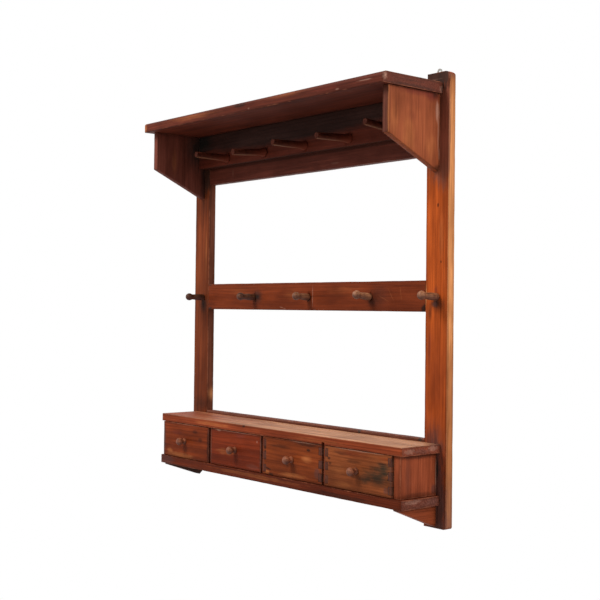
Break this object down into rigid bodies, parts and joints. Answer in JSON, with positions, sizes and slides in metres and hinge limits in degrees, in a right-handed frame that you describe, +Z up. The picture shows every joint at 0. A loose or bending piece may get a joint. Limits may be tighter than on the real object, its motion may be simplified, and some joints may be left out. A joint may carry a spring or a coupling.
{
  "type": "wall plate rack",
  "caption": "Wall-hung pine rack: bracketed top shelf over a board of long pegs, a rail of ball-tipped pegs and a shallow case of small sliding drawers.",
  "frame": {"origin": "middle of the top rail's back face, in the plane of the wall", "axes": "+X to the right seen from the front, +Y into the wall, +Z up; the rack faces -Y"},
  "size_m": [0.9614, 0.2028, 1.0131],
  "materials": {
    "frame_pine": "old red-brown stain, worn and waxed",
    "shelf_pine": "old red-brown stain, worn paler on top",
    "drawer_pine": "old red-brown stain, waxed",
    "drawer_inside_pine": "bare aged pine",
    "turned_wood": "worn grey-brown turned wood",
    "plate_steel": "dull grey steel"
  },
  "bodies": {
    "rack": {"left_stile": "frame_pine", "right_stile": "frame_pine", "top_rail": "frame_pine", "middle_rail": "frame_pine", "bottom_rail": "frame_pine", "hanging_plate_left": "plate_steel", "plate_screw_left_1": "plate_steel", "plate_screw_left_2": "plate_steel", "hanging_plate_right": "plate_steel", "plate_screw_right_1": "plate_steel", "plate_screw_right_2": "plate_steel", "top_shelf": "shelf_pine", "upper_bracket_left": "frame_pine", "upper_bracket_right": "frame_pine", "lower_bracket_left": "frame_pine", "lower_bracket_right": "frame_pine", "peg_board": "frame_pine", "long_peg_1": "turned_wood", "long_peg_2": "turned_wood", "long_peg_3": "turned_wood", "long_peg_4": "turned_wood", "long_peg_5": "turned_wood", "left_stile_peg": "turned_wood", "rail_peg_1": "turned_wood", "rail_peg_2": "turned_wood", "rail_peg_3": "turned_wood", "right_stile_peg": "turned_wood", "lower_shelf": "shelf_pine", "bottom_board": "shelf_pine", "end_panel_left": "frame_pine", "end_panel_right": "frame_pine", "divider_1": "frame_pine", "divider_2": "frame_pine", "divider_3": "frame_pine"},
    "drawer_1": {"drawer_1_front": "drawer_pine", "drawer_1_left_side": "drawer_inside_pine", "drawer_1_right_side": "drawer_inside_pine", "drawer_1_back": "drawer_inside_pine", "drawer_1_bottom": "drawer_inside_pine", "drawer_1_knob": "turned_wood"},
    "drawer_2": {"drawer_2_front": "drawer_pine", "drawer_2_left_side": "drawer_inside_pine", "drawer_2_right_side": "drawer_inside_pine", "drawer_2_back": "drawer_inside_pine", "drawer_2_bottom": "drawer_inside_pine", "drawer_2_knob": "turned_wood"},
    "drawer_3": {"drawer_3_front": "drawer_pine", "drawer_3_left_side": "drawer_inside_pine", "drawer_3_right_side": "drawer_inside_pine", "drawer_3_back": "drawer_inside_pine", "drawer_3_bottom": "drawer_inside_pine", "drawer_3_knob": "turned_wood"},
    "drawer_4": {"drawer_4_front": "drawer_pine", "drawer_4_left_side": "drawer_inside_pine", "drawer_4_right_side": "drawer_inside_pine", "drawer_4_back": "drawer_inside_pine", "drawer_4_bottom": "drawer_inside_pine", "drawer_4_knob": "turned_wood"}
  },
  "joints": [
    {"name": "drawer_1_slide", "type": "slide", "parent": "rack", "child": "drawer_1", "axis": [0, -1, 0], "range_m": [0, 0.08]},
    {"name": "drawer_2_slide", "type": "slide", "parent": "rack", "child": "drawer_2", "axis": [0, -1, 0], "range_m": [0, 0.08]},
    {"name": "drawer_3_slide", "type": "slide", "parent": "rack", "child": "drawer_3", "axis": [0, -1, 0], "range_m": [0, 0.08]},
    {"name": "drawer_4_slide", "type": "slide", "parent": "rack", "child": "drawer_4", "axis": [0, -1, 0], "range_m": [0, 0.08]}
  ]
}
